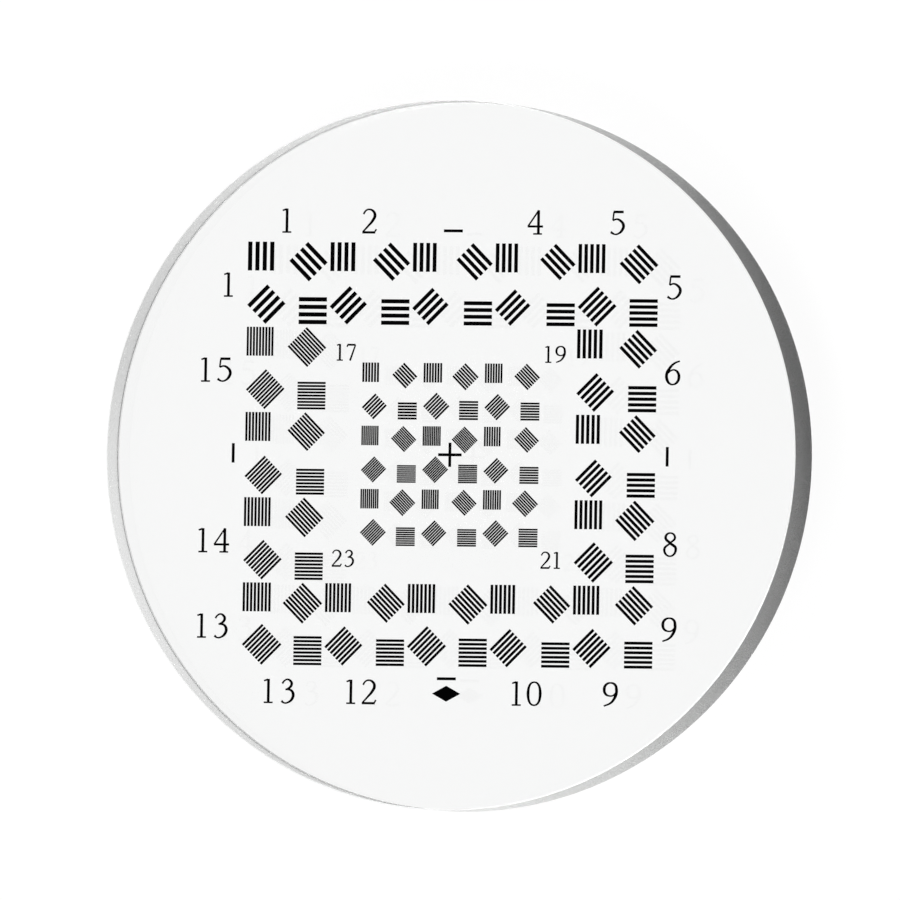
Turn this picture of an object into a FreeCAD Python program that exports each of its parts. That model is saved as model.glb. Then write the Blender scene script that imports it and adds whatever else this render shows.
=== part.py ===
import FreeCAD, Part
import os
import Sketcher

os.makedirs("parts", exist_ok=True)
doc = FreeCAD.newDocument("resolution_target")

# Driving sizes, in millimetres except where the note gives another unit
SIZES = [
    ("disc_diameter", 30.0, "glass disc across"),
    ("disc_thickness", 3.0, "glass disc between its two polished faces"),
    ("edge_chamfer", 0.1, "seamed edge between each face and the rim"),
    ("film_thickness", 0.02, "chrome film, thicker than the real coating so that it has a body"),
    ("coarsest_line", 0.16, "line width of element 1, with spaces as wide as the lines"),
    ("steps_per_halving", 12, "elements from one line width to half of it, a count"),
    ("outer_bar_length", 1.2, "bars of elements 1 to 16"),
    ("outer_cell", 3.45, "square that holds the four bar groups of an outer element"),
    ("outer_gap", 0.15, "between one outer cell and the next, five to a side"),
    ("inner_bar_length", 0.8, "bars of elements 17 to 25"),
    ("inner_cell", 2.37, "square that holds the four bar groups of an inner element"),
    ("inner_gap", 0.3, "between one inner cell and the next, three to a side"),
    ("mark_line", 0.1, "line width of the centre cross and of the ticks"),
    ("cross_span", 1.0, "centre cross, tip to tip"),
    ("tick_length", 0.8, "ticks at the middle of each side of the pattern"),
    ("tick_margin", 0.525, "from the outer cells to the middle of a tick"),
    ("diamond_width", 1.2, "orientation diamond, left to right"),
    ("diamond_height", 0.64, "orientation diamond, top to bottom"),
    ("diamond_margin", 0.63, "from the middle of the lower tick to the middle of the diamond"),
]
sheet = doc.addObject("Spreadsheet::Sheet", "Sizes")
for row, (alias, value, note) in enumerate(SIZES, start=1):
    sheet.set(f"A{row}", str(value))
    sheet.setAlias(f"A{row}", alias)
    sheet.set(f"B{row}", note)
doc.recompute()

# Layout: a ring of outer cells and, inside it, a block of inner cells filled in a spiral.
# Each cell is a column and a row, counted from the top left.
RING_SIDE = 5
OUTER_COUNT = 16
BLOCK_SIDE = 3
INNER_SPIRAL = [(0, 0), (1, 0), (2, 0), (2, 1), (2, 2), (1, 2), (0, 2), (0, 1), (1, 1)]

# Spacing of the cells, and how far the ticks stand from the centre
OUTER_PITCH = "(Sizes.outer_cell + Sizes.outer_gap)"
INNER_PITCH = "(Sizes.inner_cell + Sizes.inner_gap)"
TICK_PLACE = f"({OUTER_PITCH} * {RING_SIDE} - Sizes.outer_gap) / 2 + Sizes.tick_margin"


def ring_cell(number):
    """Column and row of an outer element, clockwise from the top left."""
    last = RING_SIDE - 1
    side, step = divmod(number - 1, last)
    return [(step, 0), (last, step), (last - step, last), (0, last - step)][side]


def origin_item(body, role):
    """A plane or axis of the body's own origin."""
    return next(item for item in body.Origin.OriginFeatures if item.Role == role)


def new_body(name):
    body = doc.addObject("PartDesign::Body", name)
    body.Label = name
    body.AllowCompound = True
    return body


def chrome_body(name):
    """A body of film that stands on the front face of the glass."""
    body = new_body(name)
    body.setExpression("Placement.Base.z", "Sizes.disc_thickness")
    return body


def flat_sketch(body, name):
    sketch = body.newObject("Sketcher::SketchObject", name)
    sketch.AttachmentSupport = (origin_item(body, "XY_Plane"), [""])
    sketch.MapMode = "FlatFace"
    return sketch


def outline(sketch, corners):
    """Closed outline of straight sides. The corners are rough until they are constrained."""
    points = [FreeCAD.Vector(x, y, 0) for x, y in corners]
    following = points[1:] + points[:1]
    sketch.addGeometry([Part.LineSegment(a, b) for a, b in zip(points, following)])
    count = len(points)
    sketch.addConstraint(
        [Sketcher.Constraint("Coincident", i, 2, (i + 1) % count, 1) for i in range(count)]
    )


def measure(sketch, name, expression, kind, *refs):
    """Adds a named measure to a sketch and ties it to the sheet."""
    index = sketch.addConstraint(Sketcher.Constraint(kind, *refs, 1.0))
    sketch.renameConstraint(index, name)
    sketch.setExpression(f"Constraints.{name}", expression)


def bar_outline(sketch, width, length, left):
    """Upright bar: its length runs along Y and is centred, its left side stands at -left."""
    outline(sketch, [(-1, -1), (0, -1), (0, 1), (-1, 1)])
    sketch.addConstraint([
        Sketcher.Constraint("Horizontal", 0),
        Sketcher.Constraint("Vertical", 1),
        Sketcher.Constraint("Horizontal", 2),
        Sketcher.Constraint("Symmetric", 3, 1, 3, 2, -1),
    ])
    measure(sketch, "Width", width, "DistanceX", 0, 1, 0, 2)
    measure(sketch, "Length", length, "DistanceY", 1, 1, 1, 2)
    measure(sketch, "Left", left, "DistanceX", 0, 1, -1, 1)


def film_pad(body, sketch, name):
    pad = body.newObject("PartDesign::Pad", name)
    pad.Profile = sketch
    pad.setExpression("Length", "Sizes.film_thickness")
    pad.Refine = False
    body.Tip = pad
    return pad


# Glass disc: a ground cylinder between two polished faces, with seamed edges
def glass_disc():
    body = new_body("glass_disc")
    sketch = flat_sketch(body, "disc_outline")
    sketch.addGeometry(Part.Circle(FreeCAD.Vector(), FreeCAD.Vector(0, 0, 1), 1.0))
    sketch.addConstraint(Sketcher.Constraint("Coincident", 0, 3, -1, 1))
    measure(sketch, "Diameter", "Sizes.disc_diameter", "Diameter", 0)
    pad = body.newObject("PartDesign::Pad", "disc_pad")
    pad.Profile = sketch
    pad.setExpression("Length", "Sizes.disc_thickness")
    doc.recompute()
    edges = enumerate(pad.Shape.Edges, start=1)
    rims = [f"Edge{i}" for i, edge in edges if isinstance(edge.Curve, Part.Circle)]
    seam = body.newObject("PartDesign::Chamfer", "seamed_edges")
    seam.Base = (pad, rims)
    seam.setExpression("Size", "Sizes.edge_chamfer")
    body.Tip = seam
    return body


# Line set of one element: the line width falls by an even ratio from element to element
def line_set(number, bar_length, cell):
    lines = doc.addObject("App::VarSet", f"lines_{number:02d}")
    width = f"Sizes.coarsest_line * 2 ^ (-{number - 1} / Sizes.steps_per_halving)"
    values = [
        ("LineWidth", "App::PropertyFloat", width),
        ("BarLength", "App::PropertyFloat", bar_length),
        # As many bars as fill a square of the bar's length. The last term keeps a count
        # that comes out whole from being rounded down.
        ("BarCount", "App::PropertyInteger", "floor((BarLength / LineWidth + 1) / 2 + 0.000001)"),
        ("Span", "App::PropertyFloat", "(2 * BarCount - 1) * LineWidth"),
        # From the middle of the cell to the middle of each group
        ("Along", "App::PropertyFloat", f"({cell} - BarLength) / 2"),
        ("Across", "App::PropertyFloat", f"({cell} - Span) / 2"),
        ("Corner", "App::PropertyFloat", f"{cell} / 2 - (BarLength + Span) / sqrt(8)"),
    ]
    for name, kind, expression in values:
        lines.addProperty(kind, name, "Lines")
        lines.setExpression(name, expression)
    return lines.Name


# The four groups of a cell: the turn of the upright bar, and where the group stands
GROUPS = [
    ("upright", 0, "-{0}.Across", "{0}.Along"),
    ("falling", 45, "{0}.Corner", "{0}.Corner"),
    ("level", 90, "{0}.Along", "-{0}.Across"),
    ("rising", 135, "-{0}.Corner", "-{0}.Corner"),
]


# Element: equal bars and spaces in four directions, one group in each corner of its cell
def element(number, bar_length, cell, x_place, y_place):
    body = chrome_body(f"element_{number:02d}")
    body.setExpression("Placement.Base.x", x_place)
    body.setExpression("Placement.Base.y", y_place)
    lines = line_set(number, bar_length, cell)
    for group, turn, x, y in GROUPS:
        name = f"{group}_{number:02d}"
        sketch = flat_sketch(body, f"{name}_bar")
        turned = FreeCAD.Rotation(FreeCAD.Vector(0, 0, 1), turn)
        sketch.AttachmentOffset = FreeCAD.Placement(FreeCAD.Vector(), turned)
        sketch.setExpression("AttachmentOffset.Base.x", x.format(lines))
        sketch.setExpression("AttachmentOffset.Base.y", y.format(lines))
        bar_outline(sketch, f"{lines}.LineWidth", f"{lines}.BarLength", f"{lines}.Span / 2")
        pad = film_pad(body, sketch, f"{name}_pad")
        bars = body.newObject("PartDesign::LinearPattern", f"{name}_bars")
        bars.Originals = [pad]
        bars.Direction = (sketch, ["H_Axis"])
        bars.Mode = "Extent"
        bars.Refine = False
        bars.setExpression("Length", f"{lines}.Span - {lines}.LineWidth")
        bars.setExpression("Occurrences", f"{lines}.BarCount")
        body.Tip = bars
    return body


def outer_elements():
    bodies = []
    middle = (RING_SIDE - 1) / 2
    for number in range(1, OUTER_COUNT + 1):
        column, row = ring_cell(number)
        x_place = f"{column - middle} * {OUTER_PITCH}"
        y_place = f"{middle - row} * {OUTER_PITCH}"
        bodies.append(element(number, "Sizes.outer_bar_length", "Sizes.outer_cell", x_place, y_place))
    return bodies


def inner_elements():
    bodies = []
    middle = (BLOCK_SIDE - 1) / 2
    for number, (column, row) in enumerate(INNER_SPIRAL, start=OUTER_COUNT + 1):
        x_place = f"{column - middle} * {INNER_PITCH}"
        y_place = f"{middle - row} * {INNER_PITCH}"
        bodies.append(element(number, "Sizes.inner_bar_length", "Sizes.inner_cell", x_place, y_place))
    return bodies


def turned_copies(body, pad, name, count, angle):
    """Copies of a pad, spread evenly about the body's Z axis over the angle."""
    pattern = body.newObject("PartDesign::PolarPattern", name)
    pattern.Originals = [pad]
    pattern.Axis = (origin_item(body, "Z_Axis"), [""])
    pattern.Angle = angle
    pattern.Occurrences = count
    body.Tip = pattern


# Centre cross: two equal arms over the middle of the disc
def centre_cross():
    body = chrome_body("centre_cross")
    sketch = flat_sketch(body, "cross_arm")
    bar_outline(sketch, "Sizes.mark_line", "Sizes.cross_span", "Sizes.mark_line / 2")
    pad = film_pad(body, sketch, "cross_arm_pad")
    turned_copies(body, pad, "cross_arms", 2, 90)
    return body


# Ticks: one beyond the middle of each side of the pattern, parallel to that side
def edge_ticks():
    body = chrome_body("edge_ticks")
    sketch = flat_sketch(body, "tick_outline")
    tick_left = f"{TICK_PLACE} + Sizes.mark_line / 2"
    bar_outline(sketch, "Sizes.mark_line", "Sizes.tick_length", tick_left)
    pad = film_pad(body, sketch, "tick_pad")
    turned_copies(body, pad, "ticks", 4, 360)
    return body


# Diamond: below the lower tick, it tells the bottom of the pattern from the top
def orientation_diamond():
    body = chrome_body("orientation_diamond")
    body.setExpression("Placement.Base.y", f"-({TICK_PLACE} + Sizes.diamond_margin)")
    sketch = flat_sketch(body, "diamond_outline")
    outline(sketch, [(1, 0), (0, 1), (-1, 0), (0, -1)])
    sketch.addConstraint([
        Sketcher.Constraint("PointOnObject", 0, 1, -1),
        Sketcher.Constraint("PointOnObject", 1, 1, -2),
        Sketcher.Constraint("Symmetric", 0, 1, 2, 1, -1, 1),
        Sketcher.Constraint("Symmetric", 1, 1, 3, 1, -1, 1),
    ])
    measure(sketch, "Width", "Sizes.diamond_width", "DistanceX", 2, 1, 0, 1)
    measure(sketch, "Height", "Sizes.diamond_height", "DistanceY", 3, 1, 1, 1)
    film_pad(body, sketch, "diamond_pad")
    return body


parts = [glass_disc()]
parts += outer_elements()
parts += inner_elements()
parts += [centre_cross(), edge_ticks(), orientation_diamond()]
doc.recompute()

# Nothing is written unless every object came out whole
for item in doc.Objects:
    if "Invalid" in item.State or "Error" in item.State:
        raise RuntimeError(f"{item.Label} did not recompute: {item.State}")
for part in parts:
    if part.Shape.isNull() or not part.Shape.isValid():
        raise RuntimeError(f"{part.Label} has no valid shape")
for part in parts:
    part.Shape.exportStep(f"parts/{part.Label}.step")
    print(f"{part.Label}: {len(part.Shape.Solids)} solids, {part.Shape.Volume:.5f} mm3")
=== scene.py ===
# Resolution test target: a glass disc that carries a black chrome chart, lying on a white table
import math

import bpy
from mathutils import Matrix, Vector


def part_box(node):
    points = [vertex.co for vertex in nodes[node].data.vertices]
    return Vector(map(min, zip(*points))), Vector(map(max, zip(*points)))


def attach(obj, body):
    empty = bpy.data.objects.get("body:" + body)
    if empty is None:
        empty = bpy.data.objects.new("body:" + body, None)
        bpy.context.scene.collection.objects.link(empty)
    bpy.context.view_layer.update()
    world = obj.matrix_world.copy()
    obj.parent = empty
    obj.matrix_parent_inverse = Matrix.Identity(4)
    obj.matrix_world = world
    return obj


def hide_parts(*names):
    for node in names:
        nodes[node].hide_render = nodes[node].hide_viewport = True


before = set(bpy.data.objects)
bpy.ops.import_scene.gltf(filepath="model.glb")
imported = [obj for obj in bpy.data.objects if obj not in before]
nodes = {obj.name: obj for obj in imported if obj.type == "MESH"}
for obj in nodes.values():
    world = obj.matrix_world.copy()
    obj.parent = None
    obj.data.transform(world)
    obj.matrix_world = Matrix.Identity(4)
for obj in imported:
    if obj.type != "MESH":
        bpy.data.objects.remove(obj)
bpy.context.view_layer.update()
mm = 0.001
discLow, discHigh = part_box("glass_disc")
discTop = discHigh.z                   # the front face, which carries the film
discRadius = discHigh.x
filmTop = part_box("centre_cross")[1].z
print("frame loaded:", len(nodes), "nodes")


# camera
cameraSetup = {
    "distance": 1.5,        # metres: a long lens, so that the disc shows hardly any perspective
    "tilt": 14.5,           # degrees between the line of sight and the disc's own axis
    "side": -6.0,           # where the camera stands, degrees round from +X
    "roll": 0.9,            # degrees, the chart's columns lean this much to the right
    "framePixels": 900,
    "pixelsPerMm": 23.71,
    "middlePixel": (449.9, 454.8),   # where the middle of the disc shows
    "sensor": 36.0,
    "clipStart": 0.1,
    "clipEnd": 20.0,
}


def makeCamera():
    c = cameraSetup
    tilt, side, roll = (math.radians(c[k]) for k in ("tilt", "side", "roll"))
    back = Vector((math.sin(tilt) * math.cos(side), math.sin(tilt) * math.sin(side), math.cos(tilt)))
    up = Vector((0, 1, 0))
    up = (up - back * up.dot(back)).normalized()
    up = Matrix.Rotation(roll, 3, back) @ up
    right = up.cross(back)
    pixel = mm / c["pixelsPerMm"]
    middle = c["framePixels"] / 2
    aim = Vector((0, 0, discTop))
    aim -= right * (c["middlePixel"][0] - middle) * pixel
    aim += up * (c["middlePixel"][1] - middle) * pixel
    data = bpy.data.cameras.new("longLens")
    data.sensor_width = c["sensor"]
    data.lens = c["sensor"] * c["distance"] / (c["framePixels"] * pixel)
    data.clip_start = c["clipStart"]
    data.clip_end = c["clipEnd"]
    camera = bpy.data.objects.new("longLens", data)
    camera.matrix_world = Matrix((
        (right.x, up.x, back.x, 0),
        (right.y, up.y, back.y, 0),
        (right.z, up.z, back.z, 0),
        (0, 0, 0, 1),
    ))
    camera.location = aim + back * c["distance"]
    bpy.context.scene.collection.objects.link(camera)
    bpy.context.scene.camera = camera


makeCamera()
print("camera placed")


# small helpers
def addNode(tree, kind, values=None, **settings):
    node = tree.nodes.new(kind)
    for name, value in settings.items():
        setattr(node, name, value)
    for key, value in (values or {}).items():
        node.inputs[key].default_value = value
    return node


def addRange(tree, given, low, high):
    return addNode(tree, "ShaderNodeMapRange", {
        "From Min": given[0], "From Max": given[1], "To Min": low, "To Max": high,
    })


def newMaterial(name):
    material = bpy.data.materials.new(name)
    material.use_nodes = True
    material.node_tree.nodes.clear()
    return material, material.node_tree


def meshObject(name, verts, faces):
    mesh = bpy.data.meshes.new(name)
    mesh.from_pydata(verts, [], faces)
    mesh.validate()
    obj = bpy.data.objects.new(name, mesh)
    bpy.context.scene.collection.objects.link(obj)
    return obj


# table, room and lamps
stageSetup = {
    "tableHalf": 4.0,
    "tableDrop": 0.02 * mm,      # the table lies this far under the disc's back face
    "whiteToCamera": 0.95,       # how much of the table is plain white when seen straight,
    "whiteToGlass": 0.99,        # through the glass
    "whiteToGloss": 0.24,        # and in a reflection
    "tableGrey": 0.80,
    "skyToward": (-0.69, -0.40, 0.60),   # the room is brightest this way
    "skyTurn": 0.8,              # where, from -1 to 1 along that way, its light is full
    "skyDark": 0.02,             # the light on the far side
    "skyBright": 0.85,
}


def tableMaterial():
    material, tree = newMaterial("whiteTable")
    s = stageSetup
    path = addNode(tree, "ShaderNodeLightPath")
    toCamera = addNode(tree, "ShaderNodeMath", {1: s["whiteToCamera"]}, operation="MULTIPLY")
    toGlass = addNode(tree, "ShaderNodeMath", {1: s["whiteToGlass"]}, operation="MULTIPLY")
    toGloss = addNode(tree, "ShaderNodeMath", {1: s["whiteToGloss"]}, operation="MULTIPLY")
    higher = addNode(tree, "ShaderNodeMath", operation="MAXIMUM")
    highest = addNode(tree, "ShaderNodeMath", operation="MAXIMUM")
    lit = addNode(tree, "ShaderNodeBsdfDiffuse", {"Color": (s["tableGrey"],) * 3 + (1,)})
    own = addNode(tree, "ShaderNodeEmission", {"Color": (1, 1, 1, 1), "Strength": 1.0})
    mix = addNode(tree, "ShaderNodeMixShader")
    out = addNode(tree, "ShaderNodeOutputMaterial")
    link = tree.links.new
    link(path.outputs["Is Camera Ray"], toCamera.inputs[0])
    link(path.outputs["Is Transmission Ray"], toGlass.inputs[0])
    link(path.outputs["Is Glossy Ray"], toGloss.inputs[0])
    link(toCamera.outputs[0], higher.inputs[0])
    link(toGlass.outputs[0], higher.inputs[1])
    link(higher.outputs[0], highest.inputs[0])
    link(toGloss.outputs[0], highest.inputs[1])
    link(highest.outputs[0], mix.inputs[0])
    link(lit.outputs[0], mix.inputs[1])
    link(own.outputs[0], mix.inputs[2])
    link(mix.outputs[0], out.inputs["Surface"])
    return material


def makeTable():
    half = stageSetup["tableHalf"]
    z = -stageSetup["tableDrop"]
    corners = [(-half, -half, z), (half, -half, z), (half, half, z), (-half, half, z)]
    table = meshObject("table", corners, [(0, 1, 2, 3)])
    table.data.materials.append(tableMaterial())


def makeWorld():
    world = bpy.data.worlds.new("studio")
    world.use_nodes = True
    tree = world.node_tree
    tree.nodes.clear()
    s = stageSetup
    place = addNode(tree, "ShaderNodeTexCoord")
    toward = addNode(tree, "ShaderNodeVectorMath", {1: s["skyToward"]}, operation="DOT_PRODUCT")
    level = addRange(tree, (-s["skyTurn"], s["skyTurn"]), s["skyDark"], s["skyBright"])
    path = addNode(tree, "ShaderNodeLightPath")
    sky = addNode(tree, "ShaderNodeBackground", {"Color": (1, 1, 1, 1)})
    white = addNode(tree, "ShaderNodeBackground", {"Color": (1, 1, 1, 1), "Strength": 1.0})
    mix = addNode(tree, "ShaderNodeMixShader")
    out = addNode(tree, "ShaderNodeOutputWorld")
    link = tree.links.new
    link(place.outputs["Generated"], toward.inputs[0])
    link(toward.outputs["Value"], level.inputs[0])
    link(level.outputs[0], sky.inputs["Strength"])
    link(path.outputs["Is Camera Ray"], mix.inputs[0])
    link(sky.outputs[0], mix.inputs[1])
    link(white.outputs[0], mix.inputs[2])
    link(mix.outputs[0], out.inputs["Surface"])
    bpy.context.scene.world = world


lamps = {
    # name: place in metres, size in metres, watts
    "upperBox": ((-0.50, 0.34, 0.70), 0.4, 6.5),
    "lowerBox": ((-0.24, -0.56, 0.70), 0.4, 10.0),
}


def makeLamps():
    for name, (place, size, watts) in lamps.items():
        data = bpy.data.lights.new(name, "AREA")
        data.shape = "SQUARE"
        data.size = size
        data.energy = watts
        lamp = bpy.data.objects.new(name, data)
        lamp.location = place
        lamp.rotation_euler = (-Vector(place)).to_track_quat("-Z", "Y").to_euler()
        bpy.context.scene.collection.objects.link(lamp)


makeTable()
makeWorld()
makeLamps()
bpy.context.scene.view_settings.view_transform = "Standard"
print("table, world and", len(lamps), "lamps ready")


# the glass disc
glassSetup = {
    "steps": 384,             # sides of the rim
    "seam": 0.05 * mm,        # the seamed edge
    "creaseTurn": 30,         # degrees: a sharper turn than this is a crease
    "ior": 1.50,
    # the two faces and the seamed edge
    "faceTint": (0.945, 0.949, 0.947, 1),
    "facePolish": 0.004,      # roughness of the faces
    "seamTint": (0.92, 0.925, 0.922, 1),
    "seamPolish": 0.40,       # and of the seamed edge
    "haze": 0.012,            # added in the faint wiping marks
    "wipe": {"Scale": 260, "Detail": 5, "Roughness": 0.6, "Distortion": 1.2},
    "wipeRange": (0.45, 0.75),
    # the ground rim. Its change of tone round the disc is painted shade along one axis and a painted
    # highlight toward one side, fitted to the light in the photo: a real rim is ground alike all round
    # painted shade: the rim's darker tone, at both ends of the axis set below
    "rimPaintedShade": (0.032, 0.033, 0.032, 1),
    "rimPale": (0.52, 0.53, 0.52, 1),    # away from the ends of the painted shade axis
    "paintedShadeAxis": (0.985, 0.17, 0.0),
    "paintedShadeRange": (0.36, 0.80),           # share of the way out along that axis
    "clear": 0.66,            # how clear the grinding left the rim
    "clearest": 1.0,          # and on its brighter side, where the added clearness is a painted highlight
    # the side where the rim is made clearer and so shows brighter: a painted highlight
    "paintedBrightSide": (-0.89, -0.45, 0.0),
    "clearRange": (0.75, 1.0),
    "grind": 0.24,            # roughness of the ground rim
    "grindSpread": 0.06,
    "grindGrain": 0.06 * mm,  # size of the grinding grain
    "grain": {"Detail": 4, "Roughness": 0.65},
    "grainRange": (0.3, 0.7),
    "grainStrength": 0.10,
    "grainDepth": 0.02 * mm,
}


def clearGlass(name, tint, polish):
    g = glassSetup
    material, tree = newMaterial(name)
    place = addNode(tree, "ShaderNodeTexCoord")
    wipe = addNode(tree, "ShaderNodeTexNoise", g["wipe"])
    rough = addRange(tree, g["wipeRange"], polish, polish + g["haze"])
    glass = addNode(tree, "ShaderNodeBsdfPrincipled", {
        "Base Color": tint,
        "Transmission Weight": 1.0,
        "IOR": g["ior"],
    })
    out = addNode(tree, "ShaderNodeOutputMaterial")
    link = tree.links.new
    link(place.outputs["Object"], wipe.inputs["Vector"])
    link(wipe.outputs["Fac"], rough.inputs[0])
    link(rough.outputs[0], glass.inputs["Roughness"])
    link(glass.outputs[0], out.inputs["Surface"])
    return material


def groundGlass(name):
    g = glassSetup
    material, tree = newMaterial(name)
    place = addNode(tree, "ShaderNodeTexCoord")
    grain = addNode(tree, "ShaderNodeTexNoise", {"Scale": 1 / g["grindGrain"], **g["grain"]})
    grit = addRange(tree, g["grainRange"], g["grind"], g["grind"] + g["grindSpread"])
    around = addNode(tree, "ShaderNodeVectorMath", operation="NORMALIZE")
    # painted highlight: the rim is clearer, so brighter, toward one fixed side
    toward = addNode(tree, "ShaderNodeVectorMath", {1: g["paintedBrightSide"]}, operation="DOT_PRODUCT")
    clear = addRange(tree, g["clearRange"], g["clear"], g["clearest"])
    # painted shade: the rim's tone darkens toward both ends of a fixed axis of the part
    along = addNode(tree, "ShaderNodeVectorMath", {1: g["paintedShadeAxis"]}, operation="DOT_PRODUCT")
    either = addNode(tree, "ShaderNodeMath", operation="ABSOLUTE")
    paintedShadeMask = addRange(tree, g["paintedShadeRange"], 0.0, 1.0)
    # sockets 6 and 7 are the two colours of a colour mix, and 2 is its result
    tone = addNode(tree, "ShaderNodeMix", {6: g["rimPale"], 7: g["rimPaintedShade"]}, data_type="RGBA")
    bump = addNode(tree, "ShaderNodeBump", {"Strength": g["grainStrength"], "Distance": g["grainDepth"]})
    glass = addNode(tree, "ShaderNodeBsdfPrincipled", {"IOR": g["ior"]})
    out = addNode(tree, "ShaderNodeOutputMaterial")
    link = tree.links.new
    link(place.outputs["Object"], grain.inputs["Vector"])
    link(place.outputs["Object"], around.inputs[0])
    link(around.outputs[0], toward.inputs[0])
    link(around.outputs[0], along.inputs[0])
    link(along.outputs["Value"], either.inputs[0])
    link(either.outputs[0], paintedShadeMask.inputs[0])
    link(paintedShadeMask.outputs[0], tone.inputs[0])
    link(tone.outputs[2], glass.inputs["Base Color"])
    link(toward.outputs["Value"], clear.inputs[0])
    link(clear.outputs[0], glass.inputs["Transmission Weight"])
    link(grain.outputs["Fac"], grit.inputs[0])
    link(grit.outputs[0], glass.inputs["Roughness"])
    link(grain.outputs["Fac"], bump.inputs["Height"])
    link(bump.outputs[0], glass.inputs["Normal"])
    link(glass.outputs[0], out.inputs["Surface"])
    return material


def makeDisc():
    g = glassSetup
    steps, seam = g["steps"], g["seam"]
    # radius and height of the rings of corners, from the back face up
    rings = [
        (discRadius - seam, 0),
        (discRadius, seam),
        (discRadius, discTop - seam),
        (discRadius - seam, discTop),
    ]
    turns = [2 * math.pi * i / steps for i in range(steps)]
    verts = [(r * math.cos(a), r * math.sin(a), z) for r, z in rings for a in turns]
    faces = [tuple(reversed(range(steps)))]
    for ring in range(len(rings) - 1):
        for i in range(steps):
            j = (i + 1) % steps
            low = ring * steps
            faces.append((low + i, low + j, low + steps + j, low + steps + i))
    faces.append(tuple(range(3 * steps, 4 * steps)))
    disc = meshObject("glassDisc", verts, faces)
    disc.data.materials.append(clearGlass("polishedFace", g["faceTint"], g["facePolish"]))
    disc.data.materials.append(groundGlass("groundRim"))
    disc.data.materials.append(clearGlass("seamedEdge", g["seamTint"], g["seamPolish"]))
    for face in disc.data.polygons:
        onFace = len(face.vertices) > 4
        onRim = seam < face.center.z < discTop - seam
        face.material_index = 0 if onFace else (1 if onRim else 2)
        face.use_smooth = not onFace
    disc.data.set_sharp_from_angle(angle=math.radians(g["creaseTurn"]))
    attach(disc, "root")
    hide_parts("glass_disc")


makeDisc()
print("glass disc made")


# the chrome film on the solids
filmSetup = {
    "black": (0.0003, 0.0003, 0.0004, 1),
    "underside": (0.80, 0.80, 0.81, 1),   # toward the glass the chrome is bright
    "underRange": (-0.5, -0.9),           # how far down a face looks, from edge to underside
    "gloss": 0.006,                       # specular level
    "rough": 0.22,
    "roughSpread": 0.10,
    "cloud": {"Scale": 900, "Detail": 3},
    "cloudRange": (0.3, 0.7),
}


def chromeFilm():
    f = filmSetup
    material, tree = newMaterial("chromeFilm")
    place = addNode(tree, "ShaderNodeTexCoord")
    cloud = addNode(tree, "ShaderNodeTexNoise", f["cloud"])
    rough = addRange(tree, f["cloudRange"], f["rough"], f["rough"] + f["roughSpread"])
    facing = addNode(tree, "ShaderNodeSeparateXYZ")
    under = addRange(tree, f["underRange"], 0.0, 1.0)
    tone = addNode(tree, "ShaderNodeMix", {6: f["black"], 7: f["underside"]}, data_type="RGBA")
    film = addNode(tree, "ShaderNodeBsdfPrincipled", {"Specular IOR Level": f["gloss"]})
    out = addNode(tree, "ShaderNodeOutputMaterial")
    link = tree.links.new
    link(place.outputs["Normal"], facing.inputs[0])
    link(facing.outputs["Z"], under.inputs[0])
    link(under.outputs[0], tone.inputs[0])
    link(tone.outputs[2], film.inputs["Base Color"])
    link(under.outputs[0], film.inputs["Metallic"])
    link(place.outputs["Object"], cloud.inputs["Vector"])
    link(cloud.outputs["Fac"], rough.inputs[0])
    link(rough.outputs[0], film.inputs["Roughness"])
    link(film.outputs[0], out.inputs["Surface"])
    return material


filmMaterial = chromeFilm()
for name, node in nodes.items():
    if name != "glass_disc":
        node.data.materials.clear()
        node.data.materials.append(filmMaterial)
print("film on", len(nodes) - 1, "nodes")


# a lower step of film round every bar, tick and mark. It isn't on the real part, whose lines and
# spaces are equal, as the solids have them. The render averages light before it encodes it, so fine
# dark lines come out too thin, and this makes the groups as dark as in the photo
edgeSetup = {
    "spread": 0.012 * mm,      # how far the step runs out past the solid, fitted
    "height": 0.012 * mm,      # of the film's 0.02 mm
    "weld": 0.001 * mm,        # corners nearer than this are one corner
}


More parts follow.
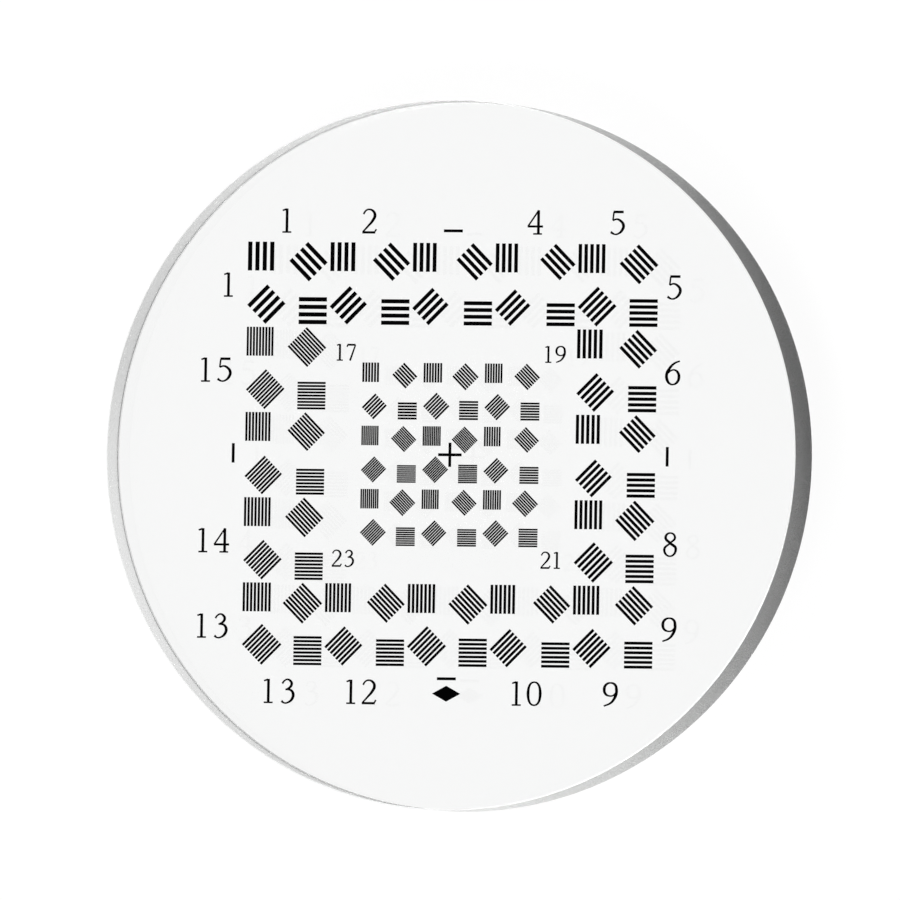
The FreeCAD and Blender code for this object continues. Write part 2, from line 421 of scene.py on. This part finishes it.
def edgeTree():
    tree = bpy.data.node_groups.new("spreadEdges", "GeometryNodeTree")
    sockets = {}
    for name in ("Geometry", "Weld", "Spread", "Film Base", "Edge Height", "Film"):
        kind = {"Geometry": "Geometry", "Film": "Material"}.get(name, "Float")
        socket = tree.interface.new_socket(name, in_out="INPUT", socket_type="NodeSocket" + kind)
        sockets[name] = socket.identifier
    tree.interface.new_socket("Geometry", in_out="OUTPUT", socket_type="NodeSocketGeometry")
    given = addNode(tree, "NodeGroupInput")
    welded = addNode(tree, "GeometryNodeMergeByDistance")
    facing = addNode(tree, "GeometryNodeInputNormal")
    level = addNode(tree, "ShaderNodeVectorMath", {1: (1, 1, 0)}, operation="MULTIPLY")
    outward = addNode(tree, "ShaderNodeVectorMath", operation="NORMALIZE")
    # a square corner's point lies the root of two further out than its sides
    mitre = addNode(tree, "ShaderNodeMath", {1: math.sqrt(2)}, operation="MULTIPLY")
    reach = addNode(tree, "ShaderNodeVectorMath", operation="SCALE")
    wider = addNode(tree, "GeometryNodeSetPosition")
    where = addNode(tree, "GeometryNodeInputPosition")
    parts = addNode(tree, "ShaderNodeSeparateXYZ")
    top = addNode(tree, "ShaderNodeMath", operation="ADD")
    lower = addNode(tree, "ShaderNodeMath", operation="MINIMUM")
    joined = addNode(tree, "ShaderNodeCombineXYZ")
    pressed = addNode(tree, "GeometryNodeSetPosition")
    real = addNode(tree, "GeometryNodeRealizeInstances")
    film = addNode(tree, "GeometryNodeSetMaterial")
    out = addNode(tree, "NodeGroupOutput")
    link = tree.links.new
    link(given.outputs["Geometry"], welded.inputs["Geometry"])
    link(given.outputs["Weld"], welded.inputs["Distance"])
    link(facing.outputs["Normal"], level.inputs[0])
    link(level.outputs["Vector"], outward.inputs[0])
    link(given.outputs["Spread"], mitre.inputs[0])
    link(outward.outputs["Vector"], reach.inputs[0])
    link(mitre.outputs[0], reach.inputs["Scale"])
    link(welded.outputs["Geometry"], wider.inputs["Geometry"])
    link(reach.outputs["Vector"], wider.inputs["Offset"])
    link(where.outputs["Position"], parts.inputs[0])
    link(given.outputs["Film Base"], top.inputs[0])
    link(given.outputs["Edge Height"], top.inputs[1])
    link(parts.outputs["Z"], lower.inputs[0])
    link(top.outputs[0], lower.inputs[1])
    link(parts.outputs["X"], joined.inputs["X"])
    link(parts.outputs["Y"], joined.inputs["Y"])
    link(lower.outputs[0], joined.inputs["Z"])
    link(wider.outputs["Geometry"], pressed.inputs["Geometry"])
    link(joined.outputs["Vector"], pressed.inputs["Position"])
    link(pressed.outputs["Geometry"], real.inputs["Geometry"])
    link(real.outputs["Geometry"], film.inputs["Geometry"])
    link(given.outputs["Film"], film.inputs["Material"])
    link(film.outputs["Geometry"], out.inputs["Geometry"])
    return tree, sockets


def makeEdges():
    e = edgeSetup
    verts, faces = [], []
    for name, node in nodes.items():
        if name == "glass_disc":
            continue
        first = len(verts)
        verts += [node.matrix_world @ v.co for v in node.data.vertices]
        faces += [[first + i for i in face.vertices] for face in node.data.polygons]
    mesh = bpy.data.meshes.new("filmOutlines")
    mesh.from_pydata(verts, [], faces)
    outlines = bpy.data.objects.new("filmOutlines", mesh)
    bpy.context.scene.collection.objects.link(outlines)
    tree, sockets = edgeTree()
    spread = outlines.modifiers.new("spreadEdges", "NODES")
    spread.node_group = tree
    spread[sockets["Weld"]] = e["weld"]
    spread[sockets["Spread"]] = e["spread"]
    spread[sockets["Film Base"]] = discTop
    spread[sockets["Edge Height"]] = e["height"]
    spread[sockets["Film"]] = filmMaterial
    shaped = outlines.evaluated_get(bpy.context.evaluated_depsgraph_get())
    edges = bpy.data.objects.new("filmEdges", bpy.data.meshes.new_from_object(shaped))
    bpy.context.scene.collection.objects.link(edges)
    bpy.data.objects.remove(outlines)
    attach(edges, "root")
    return edges


edges = makeEdges()
print("film edges spread:", len(edges.data.polygons), "faces")


# the numerals: strokes drawn along paths, each with its own width on the way
numeralSetup = {
    "outerHeight": 1.02 * mm,
    "innerHeight": 0.70 * mm,
    "spread": 0.0125 * mm,     # wider than drawn on each side, fitted for the same reason
    "detail": 6,               # steps between two points of a stroke
    "labels": [
        # text, height, middles of its digits in mm, middle of its height in mm
        ("1", "outerHeight", (-7.26,), 9.835),
        ("2", "outerHeight", (-3.66,), 9.835),
        ("4", "outerHeight", (3.56,), 9.835),
        ("5", "outerHeight", (7.13,), 9.835),
        ("5", "outerHeight", (9.64,), 7.13),
        ("6", "outerHeight", (9.64,), 3.535),
        ("8", "outerHeight", (9.64,), -3.70),
        ("9", "outerHeight", (9.64,), -7.29),
        ("1", "outerHeight", (-9.77,), 7.11),
        ("15", "outerHeight", (-10.71, -9.90), 3.51),
        ("14", "outerHeight", (-10.71, -9.90), -3.70),
        ("13", "outerHeight", (-10.71, -9.90), -7.31),
        ("13", "outerHeight", (-7.75, -6.93), -10.04),
        ("12", "outerHeight", (-4.15, -3.36), -10.04),
        ("10", "outerHeight", (3.06, 3.83), -10.04),
        ("9", "outerHeight", (7.14,), -10.04),
        ("17", "innerHeight", (-4.86, -4.36), 4.29),
        ("19", "innerHeight", (4.22, 4.75), 4.27),
        ("23", "innerHeight", (-4.86, -4.33), -4.41),
        ("21", "innerHeight", (4.23, 4.73), -4.41),
    ],
    # every stroke: open, closed or straight, then its points as across, up and half width,
    # in digit heights, with across counted from the digit's middle and up from its foot
    "strokes": {
        "0": [("closed", [(0.26, 0.50, 0.050), (0, 0.98, 0.022), (-0.26, 0.50, 0.050), (0, 0.02, 0.022)])],
        "1": [
            ("straight", [(0, 0.03, 0.045), (0, 1.0, 0.045)]),
            ("straight", [(-0.19, 0.92, 0.020), (-0.02, 0.975, 0.030)]),
            ("straight", [(-0.19, 0.025, 0.022), (0.19, 0.025, 0.022)]),
        ],
        "2": [
            ("open", [(-0.26, 0.79, 0.025), (-0.14, 0.95, 0.022), (0, 0.985, 0.025), (0.17, 0.90, 0.040),
                      (0.23, 0.74, 0.050), (0.14, 0.53, 0.045), (-0.07, 0.28, 0.028), (-0.27, 0.062, 0.020)]),
            ("straight", [(-0.30, 0.035, 0.038), (0.25, 0.035, 0.038)]),
            ("straight", [(0.22, 0.04, 0.020), (0.30, 0.17, 0.020)]),
        ],
        "3": [
            ("open", [(-0.21, 0.81, 0.028), (-0.12, 0.93, 0.022), (0.02, 0.985, 0.024), (0.155, 0.90, 0.040),
                      (0.19, 0.80, 0.045), (0.12, 0.66, 0.038), (-0.07, 0.555, 0.022)]),
            ("open", [(-0.02, 0.57, 0.022), (0.155, 0.54, 0.036), (0.26, 0.38, 0.050), (0.21, 0.175, 0.045),
                      (0.035, 0.03, 0.026), (-0.12, 0.01, 0.022), (-0.24, 0.09, 0.040)]),
        ],
        "4": [
            ("straight", [(0.138, 0.0, 0.045), (0.138, 1.0, 0.045)]),
            ("straight", [(0.148, 1.0, 0.022), (-0.31, 0.33, 0.022)]),
            ("straight", [(-0.32, 0.33, 0.034), (0.33, 0.33, 0.034)]),
            ("straight", [(-0.08, 0.022, 0.022), (0.29, 0.022, 0.022)]),
        ],
        "5": [
            ("straight", [(-0.165, 0.955, 0.043), (0.26, 0.955, 0.043)]),
            ("straight", [(-0.15, 0.95, 0.022), (-0.19, 0.60, 0.022)]),
            ("open", [(-0.19, 0.60, 0.022), (-0.03, 0.655, 0.026), (0.12, 0.60, 0.038), (0.26, 0.41, 0.050),
                      (0.21, 0.21, 0.045), (0.05, 0.06, 0.026), (-0.10, 0.03, 0.022), (-0.28, 0.12, 0.040)]),
        ],
        "6": [
            ("open", [(0.29, 0.99, 0.020), (0.07, 0.90, 0.030), (-0.14, 0.69, 0.045), (-0.26, 0.45, 0.050),
                      (-0.24, 0.21, 0.050), (-0.12, 0.05, 0.032), (0.02, 0.02, 0.022), (0.19, 0.12, 0.040),
                      (0.26, 0.32, 0.050), (0.21, 0.52, 0.040), (0.07, 0.62, 0.024), (-0.09, 0.59, 0.022),
                      (-0.20, 0.50, 0.022)]),
        ],
        "7": [
            ("straight", [(-0.25, 0.955, 0.043), (0.25, 0.955, 0.043)]),
            ("straight", [(0.25, 0.95, 0.024), (-0.08, 0.0, 0.040)]),
            ("straight", [(-0.24, 0.96, 0.020), (-0.27, 0.82, 0.020)]),
        ],
        "8": [
            ("closed", [(0, 0.56, 0.045), (0.24, 0.33, 0.045), (0, 0.02, 0.022), (-0.25, 0.28, 0.040),
                        (0.02, 0.58, 0.024), (0.20, 0.80, 0.036), (0, 0.98, 0.022), (-0.20, 0.80, 0.045)]),
        ],
        "9": [
            ("open", [(0.25, 0.56, 0.040), (0.12, 0.46, 0.022), (-0.03, 0.44, 0.022), (-0.20, 0.52, 0.040),
                      (-0.26, 0.72, 0.050), (-0.19, 0.90, 0.040), (0, 0.98, 0.022), (0.20, 0.90, 0.040),
                      (0.26, 0.70, 0.050), (0.25, 0.52, 0.050), (0.17, 0.33, 0.045), (0.02, 0.15, 0.032),
                      (-0.27, 0.02, 0.020)]),
        ],
    },
}


def strokeTree():
    tree = bpy.data.node_groups.new("flatStrokes", "GeometryNodeTree")
    sockets = {}
    for name in ("Geometry", "Film Base", "Film Top", "Film"):
        kind = {"Geometry": "Geometry", "Film": "Material"}.get(name, "Float")
        socket = tree.interface.new_socket(name, in_out="INPUT", socket_type="NodeSocket" + kind)
        sockets[name] = socket.identifier
    tree.interface.new_socket("Geometry", in_out="OUTPUT", socket_type="NodeSocketGeometry")
    given = addNode(tree, "NodeGroupInput")
    flat = addNode(tree, "GeometryNodeSetCurveNormal", mode="Z_UP")
    # one metre to each side, so that a point's radius is the stroke's half width there
    nib = addNode(tree, "GeometryNodeCurvePrimitiveQuadrilateral", {"Width": 2.0, "Height": 2.0})
    swept = addNode(tree, "GeometryNodeCurveToMesh", {"Fill Caps": True})
    halfWidth = addNode(tree, "GeometryNodeInputRadius")
    where = addNode(tree, "GeometryNodeInputPosition")
    parts = addNode(tree, "ShaderNodeSeparateXYZ")
    upper = addNode(tree, "FunctionNodeCompare", {"B": 0.0}, operation="GREATER_THAN")
    level = addNode(tree, "GeometryNodeSwitch", input_type="FLOAT")
    joined = addNode(tree, "ShaderNodeCombineXYZ")
    pressed = addNode(tree, "GeometryNodeSetPosition")
    union = addNode(
        tree, "GeometryNodeMeshBoolean", {"Self Intersection": True}, operation="UNION", solver="EXACT",
    )
    real = addNode(tree, "GeometryNodeRealizeInstances")
    film = addNode(tree, "GeometryNodeSetMaterial")
    out = addNode(tree, "NodeGroupOutput")
    link = tree.links.new
    link(given.outputs["Geometry"], flat.inputs["Curve"])
    link(flat.outputs["Curve"], swept.inputs["Curve"])
    link(nib.outputs["Curve"], swept.inputs["Profile Curve"])
    link(halfWidth.outputs["Radius"], swept.inputs["Scale"])
    link(where.outputs["Position"], parts.inputs[0])
    link(parts.outputs["Z"], upper.inputs["A"])
    link(upper.outputs["Result"], level.inputs["Switch"])
    link(given.outputs["Film Base"], level.inputs["False"])
    link(given.outputs["Film Top"], level.inputs["True"])
    link(parts.outputs["X"], joined.inputs["X"])
    link(parts.outputs["Y"], joined.inputs["Y"])
    link(level.outputs["Output"], joined.inputs["Z"])
    link(swept.outputs["Mesh"], pressed.inputs["Geometry"])
    link(joined.outputs["Vector"], pressed.inputs["Position"])
    link(pressed.outputs["Geometry"], union.inputs["Mesh 2"])
    link(union.outputs["Mesh"], real.inputs["Geometry"])
    link(real.outputs["Geometry"], film.inputs["Geometry"])
    link(given.outputs["Film"], film.inputs["Material"])
    link(film.outputs["Geometry"], out.inputs["Geometry"])
    return tree, sockets


def drawNumerals():
    n = numeralSetup
    drawn = bpy.data.curves.new("numeralStrokes", "CURVE")
    drawn.dimensions = "3D"
    drawn.resolution_u = n["detail"]
    for text, height, middles, centre in n["labels"]:
        tall = n[height]
        foot = centre * mm - tall / 2
        for digit, middle in zip(text, middles):
            for manner, points in n["strokes"][digit]:
                if manner == "straight":
                    spline = drawn.splines.new("POLY")
                    spline.points.add(len(points) - 1)
                    for point, (across, up, half) in zip(spline.points, points):
                        point.co = (middle * mm + across * tall, foot + up * tall, 0, 1)
                        point.radius = half * tall + n["spread"]
                    continue
                spline = drawn.splines.new("BEZIER")
                spline.bezier_points.add(len(points) - 1)
                for point, (across, up, half) in zip(spline.bezier_points, points):
                    point.co = (middle * mm + across * tall, foot + up * tall, 0)
                    point.handle_left_type = point.handle_right_type = "AUTO"
                    point.radius = half * tall + n["spread"]
                spline.use_cyclic_u = manner == "closed"
    paths = bpy.data.objects.new("numeralPaths", drawn)
    bpy.context.scene.collection.objects.link(paths)
    return paths


def makeNumerals():
    paths = drawNumerals()
    tree, sockets = strokeTree()
    press = paths.modifiers.new("flatStrokes", "NODES")
    press.node_group = tree
    press[sockets["Film Base"]] = discTop
    press[sockets["Film Top"]] = filmTop
    press[sockets["Film"]] = filmMaterial
    shaped = paths.evaluated_get(bpy.context.evaluated_depsgraph_get())
    mesh = bpy.data.meshes.new_from_object(shaped)
    numerals = bpy.data.objects.new("numerals", mesh)
    bpy.context.scene.collection.objects.link(numerals)
    bpy.data.objects.remove(paths)
    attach(numerals, "root")
    return numerals


numerals = makeNumerals()
print("numerals drawn:", len(numerals.data.polygons), "faces")


print("model finished")
